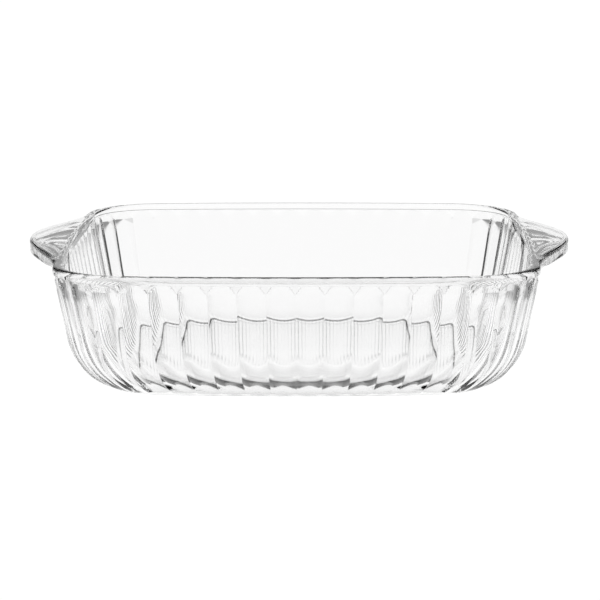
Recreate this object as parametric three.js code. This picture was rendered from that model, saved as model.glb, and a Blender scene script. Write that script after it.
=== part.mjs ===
// Square pressed-glass baking dish: fluted walls, rounded corners, two wing handles.
// Units are millimetres, +Z is up, the origin is at the centre of the underside.
// The real dish is one moulding. It is divided here into zones that meet face to face.
import * as THREE from 'three';

// Heights
const HEIGHT = 67.1;            // table to the crest of the rim
const BAND = 4.0;               // plain band at the top of the outer face
const SCALLOP = 4.7;            // height of the scallops under the band
const GRIP_DEPTH = 5.8;         // underside of the handles, below the rim's crest

// Plan outline of the rim's outer face
const HALF_WIDTH = 125.8;       // centre to the middle of a side
const BOW = 2.9;                // how far a side bows out between its corners
const CORNER_START = 86.9;      // where the bowed side turns into the corner arc
const CORNER_DRAW = 0.5;        // how far a corner moves in per millimetre of wall draw

// Section
const DRAFT = 0.184;            // slope of the wall
const HEEL_RADIUS = 34.5;       // rounded heel, outside
const HEEL_CENTRE_Z = 34.3;
const BOWL_RADIUS = 32.0;       // rounded heel, inside
const FLOOR_Z = 5.4;            // thickness of the base
const WALL = 5.6;               // outer face of the band to the inner face, square to the draw
const CREST_INSET = 3.0;        // rim's outer face to its crest
const LIP_ROUND = 2.4;          // height of the rim's rounding

// Flutes
const FLUTES = 64;
const FLUTE_DEPTH = 1.3;        // each flute is a shallow scoop between two sharp ridges
const LEDGE = 0.3;              // the band stands this far proud of the ridges
const FLUTE_STEPS = 4;
const FLUTE_STRETCH = 0.015;    // flutes at the corners are this much tighter
const HEEL_FADE_START = 0.7;    // the flutes run out between these heel angles, radians
const HEEL_FADE_END = 1.3;

// Handles
const GRIP_REACH = 18.3;
const GRIP_BLUNT = 0.8;         // below 1 makes the tip of the handle's outline blunter
const GRIP_HALF_SPAN = 80.0;
const GRIP_RISE = 1.7;
const GRIP_EDGE = 2.4;

// Where the zones are divided, in flutes from the middle of a side
const SIDE_END = 6;

const QUARTER = FLUTES / 4;
const DRAFT_ANGLE = Math.atan(DRAFT);
const BOW_ANGLE = Math.atan(2 * BOW / CORNER_START);
const HEEL_TOP_Z = HEEL_CENTRE_Z - HEEL_RADIUS * Math.sin(DRAFT_ANGLE);
const HEEL_TOP_INSET = DRAFT * (HEIGHT - HEEL_TOP_Z - BAND);
const HEEL_CENTRE_INSET = HEEL_TOP_INSET + HEEL_RADIUS * Math.cos(DRAFT_ANGLE);
const HEEL_END = Math.asin(HEEL_CENTRE_Z / HEEL_RADIUS);
const BOWL_CENTRE_Z = FLOOR_Z + BOWL_RADIUS;
const BOWL_TOP_Z = BOWL_CENTRE_Z - BOWL_RADIUS * Math.sin(DRAFT_ANGLE);
const BOWL_CENTRE_INSET = DRAFT * (HEIGHT - BOWL_TOP_Z - BAND) + WALL
  + BOWL_RADIUS * Math.cos(DRAFT_ANGLE);

const glass = () => new THREE.MeshStandardMaterial({
  color: 0xf4f7f6, roughness: 0.03, metalness: 0, transparent: true, opacity: 0.35,
});

// Corner arc radius of the outline drawn in by a given inset
function cornerRadius(inset) {
  const run = HALF_WIDTH - inset - BOW - (CORNER_START - CORNER_DRAW * inset);
  return run / (Math.cos(BOW_ANGLE) - Math.sin(BOW_ANGLE));
}

// Place on a side, from its middle to the corner's middle: along the bow, then an angle
function stationOf(flutes) {
  const t = Math.abs(flutes) / (QUARTER / 2);
  const warped = (1 + FLUTE_STRETCH) * t - FLUTE_STRETCH * t ** 8;
  const radius = cornerRadius(0);
  const length = CORNER_START + radius * (Math.PI / 4 - BOW_ANGLE);
  const along = warped * length;
  const side = Math.sign(flutes);
  if (along <= CORNER_START) {
    return { side, bow: along / CORNER_START, angle: 0 };
  }
  return { side, bow: 1, angle: BOW_ANGLE + (along - CORNER_START) / radius };
}

// Plan point and outward direction at a station, in the frame of its own side (facing -Y)
function planPoint(station, inset) {
  const start = CORNER_START - CORNER_DRAW * inset;
  if (station.angle === 0) {
    const slope = 2 * BOW * station.bow / start;
    const size = Math.hypot(slope, 1);
    const x = station.side * start * station.bow;
    const y = -(HALF_WIDTH - inset - BOW * station.bow ** 2);
    return { x, y, nx: station.side * slope / size, ny: -1 / size };
  }
  const radius = cornerRadius(inset);
  const centre = start - radius * Math.sin(BOW_ANGLE);
  const x = station.side * (centre + radius * Math.sin(station.angle));
  const y = -(centre + radius * Math.cos(station.angle));
  return { x, y, nx: station.side * Math.sin(station.angle), ny: -Math.cos(station.angle) };
}

// Turn a side's frame to the front, right, back or left
function turned(x, y, z, quarter) {
  const c = [1, 0, -1, 0][quarter];
  const s = [0, 1, 0, -1][quarter];
  return [c * x - s * y, s * x + c * y, z];
}

function smooth(t) {
  const c = Math.min(1, Math.max(0, t));
  return c * c * (3 - 2 * c);
}

// How deep a flute is cut, from the ridges at its two sides, arching in under the band
function scoop(flutes, depth) {
  const across = 2 * (flutes - Math.floor(flutes)) - 1;
  const run = Math.min(1, Math.max(0, (depth - BAND) / SCALLOP));
  return Math.max(0, FLUTE_DEPTH * (1 - (1 - run) ** 1.4 - across ** 2));
}

function gripReach(y) {
  if (Math.abs(y) >= GRIP_HALF_SPAN) return 0;
  return GRIP_REACH * ((1 + Math.cos(Math.PI * y / GRIP_HALF_SPAN)) / 2) ** GRIP_BLUNT;
}

function gripped(station, quarter) {
  const plan = planPoint(station, 0);
  return quarter % 2 === 1 && Math.abs(plan.x) < GRIP_HALF_SPAN - 6;
}

// Wall section at a station, from the underside's edge up, over the rim and down to the floor
function wallSection(flutes, quarter) {
  const station = stationOf(flutes);
  const square = gripped(station, quarter);
  const points = [];
  const put = (inset, z, cut = 0, tilt = 0, ledge = 0) => {
    const plan = planPoint(station, inset + ledge * Math.cos(tilt));
    const back = cut * Math.cos(tilt);
    const up = (cut + ledge) * Math.sin(tilt);
    points.push(turned(plan.x - plan.nx * back, plan.y - plan.ny * back, z + up, quarter));
  };
  for (const angle of [HEEL_END, HEEL_FADE_END, 1.1, 0.9, HEEL_FADE_START, 0.44]) {
    const fade = 1 - smooth((angle - HEEL_FADE_START) / (HEEL_FADE_END - HEEL_FADE_START));
    const inset = HEEL_CENTRE_INSET - HEEL_RADIUS * Math.cos(angle);
    const z = HEEL_CENTRE_Z - HEEL_RADIUS * Math.sin(angle);
    const ledge = LEDGE * (1 - smooth((angle - 1.1) / 0.35));
    put(inset, Math.max(0, z), fade * scoop(flutes, HEIGHT), angle, ledge);
  }
  put(HEEL_TOP_INSET, HEEL_TOP_Z, scoop(flutes, HEIGHT), 0, LEDGE);
  for (const depth of [BAND + SCALLOP, BAND + SCALLOP / 2]) {
    put(DRAFT * (depth - BAND), HEIGHT - depth, scoop(flutes, depth), 0, LEDGE);
  }
  if (square) {
    points.pop();
    put(DRAFT * (GRIP_DEPTH - BAND), HEIGHT - GRIP_DEPTH, scoop(flutes, GRIP_DEPTH), 0, LEDGE);
    put(0, HEIGHT - GRIP_DEPTH);
    put(0, HEIGHT - GRIP_DEPTH / 2);
    put(0, HEIGHT);
  } else {
    put(0, HEIGHT - BAND);
    put(0, HEIGHT - LIP_ROUND);
    put(CREST_INSET * 0.22, HEIGHT - LIP_ROUND * 0.32);
  }
  put(CREST_INSET, HEIGHT);
  put(WALL - 0.3, HEIGHT - LIP_ROUND);
  for (const angle of [DRAFT_ANGLE, 0.5, 0.86, 1.22, Math.PI / 2]) {
    const inset = BOWL_CENTRE_INSET - BOWL_RADIUS * Math.cos(angle);
    put(inset, BOWL_CENTRE_Z - BOWL_RADIUS * Math.sin(angle));
  }
  return points;
}

// Collects triangles and shares vertices, so that every solid is closed
class Shell {
  constructor() {
    this.coords = [];
    this.faces = [];
    this.seen = new Map();
  }

  vertex(p) {
    const key = p.map((c) => Math.round(c * 1e4)).join(',');
    if (!this.seen.has(key)) {
      this.seen.set(key, this.coords.length / 3);
      this.coords.push(...p);
    }
    return this.seen.get(key);
  }

  triangle(a, b, c) {
    const [i, j, k] = [this.vertex(a), this.vertex(b), this.vertex(c)];
    if (i !== j && j !== k && k !== i) this.faces.push(i, j, k);
  }

  // Skin between closed sections in a row, each section being the same number of points
  skin(sections) {
    for (let i = 0; i + 1 < sections.length; i += 1) {
      const [a, b] = [sections[i], sections[i + 1]];
      for (let k = 0; k < a.length; k += 1) {
        const n = (k + 1) % a.length;
        this.triangle(a[k], b[k], b[n]);
        this.triangle(a[k], b[n], a[n]);
      }
    }
  }

  // Flat end over one section, which lies in an upright plane
  cap(section, flip) {
    const widest = section.reduce((a, b) => (Math.hypot(a[0], a[1]) > Math.hypot(b[0], b[1]) ? a : b));
    const across = new THREE.Vector2(widest[0] - section[0][0], widest[1] - section[0][1]).normalize();
    const flat = section.map(([x, y, z]) => new THREE.Vector2(across.x * x + across.y * y, z));
    const triangles = THREE.ShapeUtils.triangulateShape(flat, []);
    const turn = Math.sign(THREE.ShapeUtils.area(flat));
    const own = Math.sign(THREE.ShapeUtils.area(triangles[0].map((i) => flat[i])));
    for (const [i, j, k] of triangles) {
      if (flip === (turn === own)) this.triangle(section[i], section[k], section[j]);
      else this.triangle(section[i], section[j], section[k]);
    }
  }

  mesh(name) {
    const geometry = new THREE.BufferGeometry();
    geometry.setAttribute('position', new THREE.Float32BufferAttribute(this.coords, 3));
    geometry.setIndex(this.faces);
    geometry.computeVertexNormals();
    const mesh = new THREE.Mesh(geometry, glass());
    mesh.name = name;
    return mesh;
  }
}

// Turn every face of a shell outwards if its volume comes out negative
function facingOut(shell) {
  const at = (i) => new THREE.Vector3().fromArray(shell.coords, 3 * i);
  let volume = 0;
  for (let f = 0; f < shell.faces.length; f += 3) {
    const [a, b, c] = shell.faces.slice(f, f + 3).map(at);
    volume += a.dot(b.cross(c)) / 6;
  }
  if (volume < 0) shell.faces.reverse();
  return shell;
}

// Station positions between two places, in flutes from the middle of the side
function steps(from, to) {
  const count = Math.round((to - from) * FLUTE_STEPS);
  return Array.from({ length: count + 1 }, (_, i) => from + i / FLUTE_STEPS);
}

// A section counted past the corner's middle belongs to the next side
function sectionAt(flutes, quarter) {
  if (flutes <= QUARTER / 2) return wallSection(flutes, quarter);
  return wallSection(flutes - QUARTER, (quarter + 1) % 4);
}

function wallZone(name, quarter, from, to) {
  const sections = steps(from, to).map((f) => sectionAt(f, quarter));
  const shell = new Shell();
  shell.skin(sections);
  shell.cap(sections[0], false);
  shell.cap(sections[sections.length - 1], true);
  return facingOut(shell).mesh(name);
}

function floorPanel() {
  const shell = new Shell();
  const low = [];
  const high = [];
  for (let quarter = 0; quarter < 4; quarter += 1) {
    for (const flutes of steps(-QUARTER / 2, QUARTER / 2).slice(0, -1)) {
      const section = wallSection(flutes, quarter);
      low.push(section[0]);
      high.push(section[section.length - 1]);
    }
  }
  for (let i = 0; i < low.length; i += 1) {
    const n = (i + 1) % low.length;
    shell.triangle(low[i], low[n], high[i]);
    shell.triangle(low[n], high[n], high[i]);
    shell.triangle([0, 0, 0], low[n], low[i]);
    shell.triangle([0, 0, FLOOR_Z], high[i], high[n]);
  }
  return facingOut(shell).mesh('floor_panel');
}

// Handle section at a station: out along the top, round the edge, back along the underside
function gripSection(flutes, quarter) {
  const plan = planPoint(stationOf(flutes), 0);
  const reach = gripReach(plan.x);
  const edge = Math.min(GRIP_EDGE, reach * 0.45);
  const rise = GRIP_RISE * reach / GRIP_REACH;
  const profile = [
    [0, HEIGHT],
    [reach - edge, HEIGHT + rise],
    [reach - edge * 0.25, HEIGHT + rise - edge * 0.4],
    [reach, HEIGHT - GRIP_DEPTH * 0.4],
    [reach - edge * 0.25, HEIGHT - GRIP_DEPTH + edge * 0.4],
    [reach - edge, HEIGHT - GRIP_DEPTH],
    [0, HEIGHT - GRIP_DEPTH],
    [0, HEIGHT - GRIP_DEPTH / 2],
  ];
  return profile.map(([out, z]) => turned(plan.x, plan.y - out, z, quarter));
}

function handle(name, quarter) {
  const stations = steps(-SIDE_END, SIDE_END).filter((f) => gripped(stationOf(f), quarter));
  const sections = stations.map((f) => gripSection(f, quarter));
  const shell = new Shell();
  shell.skin(sections);
  const ends = [sections[0], sections[sections.length - 1].slice().reverse()];
  for (const section of ends) {
    const middle = section.findIndex(([, , z]) => Math.abs(z - HEIGHT + GRIP_DEPTH / 2) < 1e-6);
    for (let k = 1; k + 1 < section.length; k += 1) {
      const [i, j] = [(middle + k) % section.length, (middle + k + 1) % section.length];
      shell.triangle(section[middle], section[i], section[j]);
    }
  }
  return facingOut(shell).mesh(name);
}

const dish = new THREE.Group();
dish.name = 'baking_dish';
dish.add(floorPanel());
['front', 'right', 'back', 'left'].forEach((side, quarter) => {
  const next = ['front_right', 'back_right', 'back_left', 'front_left'][quarter];
  dish.add(wallZone(`${side}_wall`, quarter, -SIDE_END, SIDE_END));
  dish.add(wallZone(`${next}_corner`, quarter, SIDE_END, QUARTER - SIDE_END));
});
dish.add(handle('right_handle', 1));
dish.add(handle('left_handle', 3));

export default dish;
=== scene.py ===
# Square pressed-glass baking dish with fluted walls and two wing handles, in metres.
import math

import bpy
import numpy as np
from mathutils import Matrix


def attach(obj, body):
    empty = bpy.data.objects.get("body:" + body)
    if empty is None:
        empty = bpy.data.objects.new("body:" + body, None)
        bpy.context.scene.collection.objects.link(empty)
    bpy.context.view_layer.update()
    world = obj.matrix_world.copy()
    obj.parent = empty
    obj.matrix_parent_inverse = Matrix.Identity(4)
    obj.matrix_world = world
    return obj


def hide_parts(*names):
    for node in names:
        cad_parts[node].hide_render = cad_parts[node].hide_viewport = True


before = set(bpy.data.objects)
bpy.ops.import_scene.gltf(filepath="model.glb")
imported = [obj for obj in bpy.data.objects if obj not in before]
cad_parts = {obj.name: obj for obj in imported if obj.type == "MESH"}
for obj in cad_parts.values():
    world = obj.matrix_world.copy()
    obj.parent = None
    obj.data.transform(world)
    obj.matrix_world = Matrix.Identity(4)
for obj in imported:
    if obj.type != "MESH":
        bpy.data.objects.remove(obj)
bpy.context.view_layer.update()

# ---------------------------------------------------------------- driving dimensions, mm
HEIGHT = 67.1
BAND = 4.0
SCALLOP = 4.7
GRIP_DEPTH = 5.8
HALF_WIDTH = 125.8
BOW = 2.9
CORNER_START = 86.9
CORNER_DRAW = 0.5
DRAFT = 0.184
HEEL_RADIUS = 34.5
HEEL_CENTRE_Z = 34.3
WALL = 5.6
FLOOR_Z = 5.4
BOWL_RADIUS = 32.0
CREST_INSET = 3.0
LIP_ROUND = 2.4
FLUTES = 64
FLUTE_DEPTH = 1.3
LEDGE = 0.3                     # the band stands this far proud of the ridges
HIP = 1.2                       # depth of the slope across the top of each ridge
FLUTE_TOP = 0.8                 # height over which a flute reaches its depth
BAND_EDGE = 0.03                # radius of the band's lower edge
FLUTE_STRETCH = 0.015
HEEL_FADE_START = 0.7
HEEL_FADE_END = 1.3
GRIP_REACH = 18.3
GRIP_BLUNT = 0.8
GRIP_HALF_SPAN = 80.0
GRIP_RISE = 1.7
GRIP_EDGE = 0.9                 # radius of the handles' lower edge
GRIP_BLEND = 6.0                # reach at which the rim's section has become the handle's

# Underside, from its edge inwards: a narrow foot, then a shallow recess
FOOT_PROFILE = [(0.05, 0.0), (0.7, 0.0), (1.0, 0.03), (3.2, 0.47), (3.6, 0.5), (6.0, 0.5)]

# Glass surface: roughness of the haze, and height of the ripple in metres
HAZE = 0.02
RIPPLE = 0.00001

# Light: strengths, 1 being white, and where the bright area ends, in metres
FLOOR_LIGHT = 1.03
BACK_LIGHT = 1.05
SIDE_LIGHT = 0.02
# painted shade: the floor beside the painted pool of light glows only this bright
FLOOR_SIDE_LIGHT = 0.32
FRONT_LIGHT = 0.2
TOP_LIGHT = 0.0
# shape of the painted pool of light on the floor, which fans out towards the back
FAN_HALF_WIDTH = 0.174
FAN_SPREAD = 0.125
FAN_LEAN = 0.0165
FAN_EDGE = 0.10
# painted contact shadow: the slot's bed glows this dim under the near heel
PAINTED_SHADOW_GLOW = 0.06
SLOT_DEPTH = 0.004
SLOT_HALF_LENGTH = 0.090
SLOT_FRONT = -0.1050
SLOT_BACK = -0.0880
SKY_TOP = (0.28, 0.38)          # sine of elevation
SKY_SIDE = (0.2, 0.4)           # radians from straight back

QUARTER = FLUTES // 4
DRAFT_ANGLE = math.atan(DRAFT)
BOW_ANGLE = math.atan(2 * BOW / CORNER_START)
HEEL_TOP_Z = HEEL_CENTRE_Z - HEEL_RADIUS * math.sin(DRAFT_ANGLE)
HEEL_TOP_INSET = DRAFT * (HEIGHT - HEEL_TOP_Z - BAND)
HEEL_CENTRE_INSET = HEEL_TOP_INSET + HEEL_RADIUS * math.cos(DRAFT_ANGLE)
HEEL_END = math.asin(HEEL_CENTRE_Z / HEEL_RADIUS)
BOWL_CENTRE_Z = FLOOR_Z + BOWL_RADIUS
BOWL_TOP_Z = BOWL_CENTRE_Z - BOWL_RADIUS * math.sin(DRAFT_ANGLE)
BOWL_CENTRE_INSET = (DRAFT * (HEIGHT - BOWL_TOP_Z - BAND) + WALL
                     + BOWL_RADIUS * math.cos(DRAFT_ANGLE))

# Steps across one flute, from ridge to ridge, closer together at the ridges
FLUTE_STEPS = np.array([0.0, 0.012, 0.035, 0.09, 0.17, 0.27, 0.38])
FLUTE_STEPS = np.concatenate([FLUTE_STEPS, [0.5], 1 - FLUTE_STEPS[:0:-1]])


def smooth(t):
    t = np.clip(t, 0.0, 1.0)
    return t * t * (3 - 2 * t)


# ---------------------------------------------------------------- plan outline
def corner_radius(inset):
    run = HALF_WIDTH - inset - BOW - (CORNER_START - CORNER_DRAW * inset)
    return run / (math.cos(BOW_ANGLE) - math.sin(BOW_ANGLE))


class Stations:
    """Every place round the dish, in flutes from the middle of its own side."""

    def __init__(self):
        flutes = (np.arange(-QUARTER // 2, QUARTER // 2)[:, None] + FLUTE_STEPS).ravel()
        count = len(flutes)
        self.quarter = np.repeat(np.arange(4), count)
        self.flutes = np.tile(flutes, 4)
        t = np.abs(self.flutes) / (QUARTER / 2)
        warped = (1 + FLUTE_STRETCH) * t - FLUTE_STRETCH * t**8
        radius = corner_radius(0.0)
        along = warped * (CORNER_START + radius * (math.pi / 4 - BOW_ANGLE))
        self.side = np.sign(self.flutes)
        self.bow = np.minimum(along / CORNER_START, 1.0)
        self.angle = BOW_ANGLE + (along - CORNER_START) / radius
        self.straight = along <= CORNER_START
        # place within the flute: -1 and 1 at its ridges, 0 at its deepest
        self.across = 2 * (self.flutes - np.floor(self.flutes)) - 1

    def plan(self, inset):
        """Points of the outline at this inset, and its outward directions."""
        start = CORNER_START - CORNER_DRAW * inset
        slope = 2 * BOW * self.bow / start
        size = np.hypot(slope, 1)
        radius = corner_radius(inset)
        centre = start - radius * math.sin(BOW_ANGLE)
        sin, cos = np.sin(self.angle), np.cos(self.angle)
        x = np.where(self.straight, start * self.bow, centre + radius * sin) * self.side
        y = -np.where(
            self.straight, HALF_WIDTH - inset - BOW * self.bow**2, centre + radius * cos
        )
        nx = np.where(self.straight, slope / size, sin) * self.side
        ny = -np.where(self.straight, 1 / size, cos)
        return x, y, nx, ny

    def turned(self, x, y):
        c = np.array([1, 0, -1, 0])[self.quarter]
        s = np.array([0, 1, 0, -1])[self.quarter]
        return c * x - s * y, s * x + c * y


ring = Stations()
PLAN_X = ring.plan(0.0)[0]
ON_GRIP = (ring.quarter % 2 == 1) & (np.abs(PLAN_X) < GRIP_HALF_SPAN)
REACH = np.where(
    ON_GRIP,
    GRIP_REACH * ((1 + np.cos(np.pi * PLAN_X / GRIP_HALF_SPAN)) / 2) ** GRIP_BLUNT,
    0.0,
)
RISE = GRIP_RISE * REACH / GRIP_REACH
GRIP = smooth(REACH / GRIP_BLEND)                # 0 on the plain rim, 1 on the handle
UNDER = BAND + (GRIP_DEPTH - BAND) * GRIP        # depth of the band's or the handle's underside
ROUND_LOW = BAND_EDGE + GRIP_EDGE * GRIP         # radius of the lower edge


def flute_deficit(depth):
    """How far the surface sits behind the plain band's face, at a depth below the rim."""
    run = np.clip((depth - BAND) / SCALLOP, 0.0, 1.0)
    scooped = LEDGE + FLUTE_DEPTH * (1 - ring.across**2)
    # a sloping hip cuts the top of each ridge, which leaves a V between the flutes
    hipped = LEDGE + HIP * (1 - run)
    return np.maximum(scooped * smooth((depth - BAND) / FLUTE_TOP), hipped)


def ring_at(inset, z, deficit=0.0, tilt=0.0, out=0.0):
    """One closed ring of the surface. out pushes the handles' rings away from the body."""
    x, y, nx, ny = ring.plan(inset)
    back = deficit * math.cos(tilt)
    x, y = x - nx * back, y - ny * back
    y = y - out
    x, y = ring.turned(x, y)
    z = np.broadcast_to(z, x.shape) + deficit * math.sin(tilt)
    return np.stack([x, y, z], 1)


def dish_rings():
    rings = []
    # heel, from the edge of the underside up to the wall
    angles = np.linspace(HEEL_END, DRAFT_ANGLE, 30)
    for angle in np.insert(angles, 1, HEEL_END - 0.004):
        fade = 1 - smooth((angle - HEEL_FADE_START) / (HEEL_FADE_END - HEEL_FADE_START))
        inset = HEEL_CENTRE_INSET - HEEL_RADIUS * math.cos(angle)
        z = HEEL_CENTRE_Z - HEEL_RADIUS * math.sin(angle)
        hollow = (flute_deficit(HEIGHT) - LEDGE) * fade + LEDGE * (1 - smooth((angle - 1.1) / 0.35))
        rings.append(ring_at(inset, max(z, 0.0), hollow, angle))
    # fluted wall, then the scallops up to the band
    for z in np.linspace(HEEL_TOP_Z, HEIGHT - BAND - SCALLOP, 5)[1:]:
        rings.append(ring_at(DRAFT * (HEIGHT - z - BAND), z, flute_deficit(HEIGHT - z)))
    for t in np.linspace(0, 1, 21)[1:]:
        depth = BAND + SCALLOP + (UNDER - BAND - SCALLOP) * t
        rings.append(ring_at(0.0, HEIGHT - depth, flute_deficit(depth) + DRAFT * (depth - BAND)))
    # underside of the band or handle, its lower edge, outer face and upper edge
    at_wall = flute_deficit(UNDER) + DRAFT * (UNDER - BAND)
    low = ROUND_LOW
    near = np.minimum(0.3, 0.9 / (at_wall + REACH - low))
    for part in (near, 1 - near):
        rings.append(ring_at(0.0, HEIGHT - UNDER, at_wall * (1 - part), 0.0,
                             (REACH - low) * part))
    for t in np.linspace(0, 1, 6):
        a = t * math.pi / 2
        rings.append(ring_at(0.0, HEIGHT - UNDER + low * (1 - math.cos(a)), 0.0, 0.0,
                             REACH - low * (1 - math.sin(a))))
    for t in np.linspace(0, 1, 10):
        a = t * math.pi / 2
        rings.append(ring_at(CREST_INSET * (1 - math.cos(a)),
                             HEIGHT + RISE - LIP_ROUND * (1 - math.sin(a)), 0.0, 0.0, REACH))
    # crest and inner edge of the rim
    for t in np.linspace(0, 1, 8)[1:]:
        a = t * math.pi / 2
        inset = CREST_INSET + (WALL - 0.3 - CREST_INSET) * math.sin(a)
        rings.append(ring_at(inset, HEIGHT - LIP_ROUND * (1 - math.cos(a))))
    # bowl
    for z in np.linspace(HEIGHT - LIP_ROUND, BOWL_TOP_Z, 5)[1:]:
        rings.append(ring_at(DRAFT * (HEIGHT - z - BAND) + WALL, z))
    for angle in np.linspace(DRAFT_ANGLE, math.pi / 2, 17)[1:]:
        inset = BOWL_CENTRE_INSET - BOWL_RADIUS * math.cos(angle)
        rings.append(ring_at(inset, BOWL_CENTRE_Z - BOWL_RADIUS * math.sin(angle)))
    return rings


def dish_mesh():
    rings = dish_rings()
    edge = np.hypot(rings[0][:, 0], rings[0][:, 1])[:, None]
    under = [np.where([1, 1, 0], rings[0] * (1 - back / edge), up)
             for back, up in reversed(FOOT_PROFILE)]
    under = [under[0] * [0.5, 0.5, 1]] + under
    floor = [rings[-1] * [s, s, 1] for s in (0.9, 0.5)]
    rings = under + rings + floor
    n = len(rings[0])
    verts = np.concatenate(rings + [[[0, 0, FOOT_PROFILE[-1][1]]], [[0, 0, FLOOR_Z]]]) / 1000.0
    i = np.arange(n)
    j = (i + 1) % n
    faces = []
    for k in range(len(rings) - 1):
        a, b = k * n, (k + 1) * n
        faces.append(np.stack([a + i, a + j, b + j, b + i], 1))
    quads = np.concatenate(faces).tolist()
    low, high = len(rings) * n, len(rings) * n + 1
    last = (len(rings) - 1) * n
    fans = [(low, int(q), int(p)) for p, q in zip(i, j)]
    fans += [(high, last + int(p), last + int(q)) for p, q in zip(i, j)]
    mesh = bpy.data.meshes.new("baking_dish")
    mesh.from_pydata(verts.tolist(), [], quads + fans)
    mesh.validate()
    mesh.update()
    return mesh


# ---------------------------------------------------------------- material
def glass_material():
    mat = bpy.data.materials.new("clear_pressed_glass")
    mat.use_nodes = True
    nodes, links = mat.node_tree.nodes, mat.node_tree.links
    shader = nodes["Principled BSDF"]
    shader.inputs["Base Color"].default_value = (1.0, 1.0, 1.0, 1.0)
    shader.inputs["Metallic"].default_value = 0.0
    shader.inputs["IOR"].default_value = 1.52
    shader.inputs["Transmission Weight"].default_value = 1.0
    place = nodes.new("ShaderNodeTexCoord")

    def noise(scale, detail):
        node = nodes.new("ShaderNodeTexNoise")
        node.inputs["Scale"].default_value = scale
        node.inputs["Detail"].default_value = detail
        links.new(place.outputs["Object"], node.inputs["Vector"])
        return node.outputs["Fac"]

    # fire-polished skin: clean glass with faint patches of handling haze
    haze = Maths(mat.node_tree).between(noise(22.0, 3.0), 0.5, 0.75, 0.0, HAZE)
    links.new(haze, shader.inputs["Roughness"])
    # slow ripple left by the mould, a few micrometres high
    bump = nodes.new("ShaderNodeBump")
    bump.inputs["Strength"].default_value = 1.0
    bump.inputs["Distance"].default_value = RIPPLE
    links.new(noise(70.0, 1.0), bump.inputs["Height"])
    links.new(bump.outputs["Normal"], shader.inputs["Normal"])
    return mat


# ---------------------------------------------------------------- camera, floor, light
def emission(name, strength):
    mat = bpy.data.materials.new(name)
    mat.use_nodes = True
    nodes, links = mat.node_tree.nodes, mat.node_tree.links
    nodes.clear()
    out = nodes.new("ShaderNodeOutputMaterial")
    glow = nodes.new("ShaderNodeEmission")
    glow.inputs["Color"].default_value = (1.0, 1.0, 1.0, 1.0)
    glow.inputs["Strength"].default_value = strength
    links.new(glow.outputs[0], out.inputs["Surface"])
    return mat


def make_camera():
    data = bpy.data.cameras.new("camera")
    data.sensor_width = 36.0
    data.lens = 150.0
    data.shift_x = -0.0685
    data.clip_end = 100.0
    cam = bpy.data.objects.new("camera", data)
    bpy.context.collection.objects.link(cam)
    cam.location = (0.0224, -1.3246, 0.2842)
    cam.rotation_euler = (math.radians(90 - 10.76), 0.0, 0.0)
    bpy.context.scene.camera = cam


class Maths:
    """Writes a formula as Math nodes in one node tree."""

    def __init__(self, tree):
        self.tree = tree

    def __call__(self, operation, *values):
        node = self.tree.nodes.new("ShaderNodeMath")
        node.operation = operation
        for socket, value in zip(node.inputs, values):
            if isinstance(value, (int, float)):
                socket.default_value = value
            else:
                self.tree.links.new(value, socket)
        return node.outputs[0]

    def between(self, value, low, high, at_low, at_high):
        """at_low below low, at_high above high, and a smooth change between them."""
        node = self.tree.nodes.new("ShaderNodeMapRange")
        node.interpolation_type = "SMOOTHSTEP"
        self.tree.links.new(value, node.inputs["Value"])
        for name, number in (("From Min", low), ("From Max", high),
                             ("To Min", at_low), ("To Max", at_high)):
            if isinstance(number, (int, float)):
                node.inputs[name].default_value = number
            else:
                self.tree.links.new(number, node.inputs[name])
        return node.outputs["Result"]


def lit_floor():
    """Floor glowing as a painted pool of light: a white area that fans out from front to back, and
    painted grey shade beside it.
    """
    mat = emission("floor_with_painted_light_pool", FLOOR_LIGHT)
    tree = mat.node_tree
    maths = Maths(tree)
    place = tree.nodes.new("ShaderNodeNewGeometry")
    split = tree.nodes.new("ShaderNodeSeparateXYZ")
    tree.links.new(place.outputs["Position"], split.inputs[0])
    x, y = split.outputs["X"], split.outputs["Y"]
    off_axis = maths("ABSOLUTE", maths("MULTIPLY_ADD", y, FAN_LEAN, x))
    beyond = maths("SUBTRACT", off_axis, maths("MULTIPLY_ADD", y, FAN_SPREAD, FAN_HALF_WIDTH))
    glow = next(n for n in tree.nodes if n.type == "EMISSION")
    tree.links.new(maths.between(beyond, 0.0, FAN_EDGE, FLOOR_LIGHT, FLOOR_SIDE_LIGHT),
                   glow.inputs["Strength"])
    return mat


def painted_contact_shadow():
    """Painted soft-edged contact shadow: a dim glow on the bed of the slot, rising to the floor's
    white at its ends and edges.
    """
    mat = emission("painted_contact_shadow", PAINTED_SHADOW_GLOW)
    tree = mat.node_tree
    maths = Maths(tree)
    place = tree.nodes.new("ShaderNodeNewGeometry")
    split = tree.nodes.new("ShaderNodeSeparateXYZ")
    tree.links.new(place.outputs["Position"], split.inputs[0])
    middle, half = (SLOT_FRONT + SLOT_BACK) / 2, (SLOT_BACK - SLOT_FRONT) / 2
    along = maths("ABSOLUTE", split.outputs["X"])
    across = maths("ABSOLUTE", maths("SUBTRACT", split.outputs["Y"], middle))
    core = maths.between(along, 0.75 * SLOT_HALF_LENGTH, SLOT_HALF_LENGTH, PAINTED_SHADOW_GLOW, FLOOR_LIGHT)
    glow = next(n for n in tree.nodes if n.type == "EMISSION")
    tree.links.new(maths.between(across, 0.7 * half, half, core, FLOOR_LIGHT),
                   glow.inputs["Strength"])
    return mat


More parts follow.
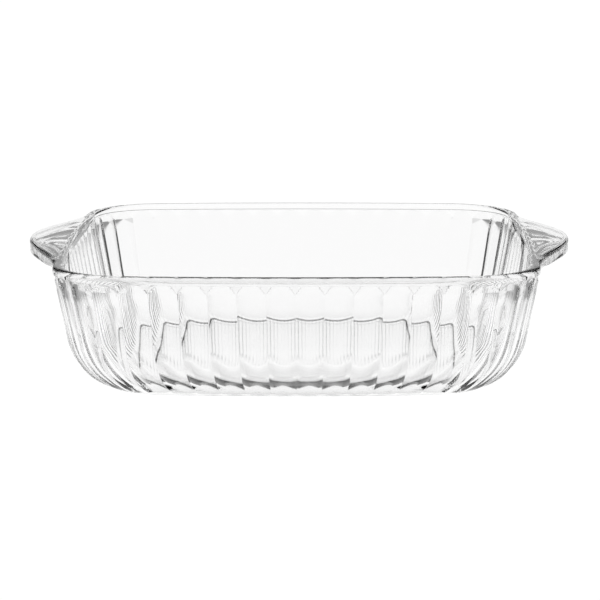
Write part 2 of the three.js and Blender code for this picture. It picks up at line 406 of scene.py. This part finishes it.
def make_stage():
    """Floor with its painted pool of light, and a narrow slot under the near heel whose bed holds a
    painted contact shadow.
    """
    size, top, low = 30.0, -0.0005, -0.0005 - SLOT_DEPTH
    x, front, back = SLOT_HALF_LENGTH, SLOT_FRONT, SLOT_BACK
    corners = [(-1, 0), (1, 0), (1, 1), (-1, 1)]
    rim = [(sx * size, size if sy else -size, top) for sx, sy in corners]
    lip = [(sx * x, back if sy else front, top) for sx, sy in corners]
    bed = [(sx * x, back if sy else front, low) for sx, sy in corners]
    sides = [(i, (i + 1) % 4) for i in range(4)]
    faces = [(i, j, 4 + j, 4 + i) for i, j in sides]
    faces += [(4 + i, 4 + j, 8 + j, 8 + i) for i, j in sides]
    faces.append((8, 9, 10, 11))
    mesh = bpy.data.meshes.new("floor")
    mesh.from_pydata(rim + lip + bed, [], faces)
    mesh.materials.append(lit_floor())
    mesh.materials.append(painted_contact_shadow())
    # the slot's bed carries the painted contact shadow
    mesh.polygons[-1].material_index = 1
    floor = bpy.data.objects.new("floor", mesh)
    bpy.context.collection.objects.link(floor)


def make_world():
    world = bpy.data.worlds.new("studio")
    bpy.context.scene.world = world
    world.use_nodes = True
    nodes, links = world.node_tree.nodes, world.node_tree.links
    nodes.clear()
    out = nodes.new("ShaderNodeOutputWorld")
    back = nodes.new("ShaderNodeBackground")
    coords = nodes.new("ShaderNodeTexCoord")
    split = nodes.new("ShaderNodeSeparateXYZ")
    links.new(coords.outputs["Generated"], split.inputs[0])
    maths = Maths(world.node_tree)
    aside = maths("ABSOLUTE", maths("ARCTAN2", split.outputs["X"], split.outputs["Y"]))
    up = split.outputs["Z"]
    behind = maths.between(up, *SKY_TOP, BACK_LIGHT, TOP_LIGHT)
    front = maths.between(aside, 1.3, 1.9, SIDE_LIGHT, FRONT_LIGHT)
    sides = maths.between(up, 0.5, 0.8, front, TOP_LIGHT)
    links.new(maths.between(aside, *SKY_SIDE, behind, sides), back.inputs["Strength"])
    links.new(back.outputs[0], out.inputs["Surface"])


make_camera()
make_stage()
make_world()

dish = bpy.data.objects.new("baking_dish", dish_mesh())
bpy.context.collection.objects.link(dish)
dish.data.materials.append(glass_material())
for poly in dish.data.polygons:
    poly.use_smooth = True
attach(dish, "root")
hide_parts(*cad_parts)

scene = bpy.context.scene
scene.view_settings.view_transform = "Standard"
scene.cycles.max_bounces = 24
scene.cycles.transmission_bounces = 24
scene.cycles.glossy_bounces = 12
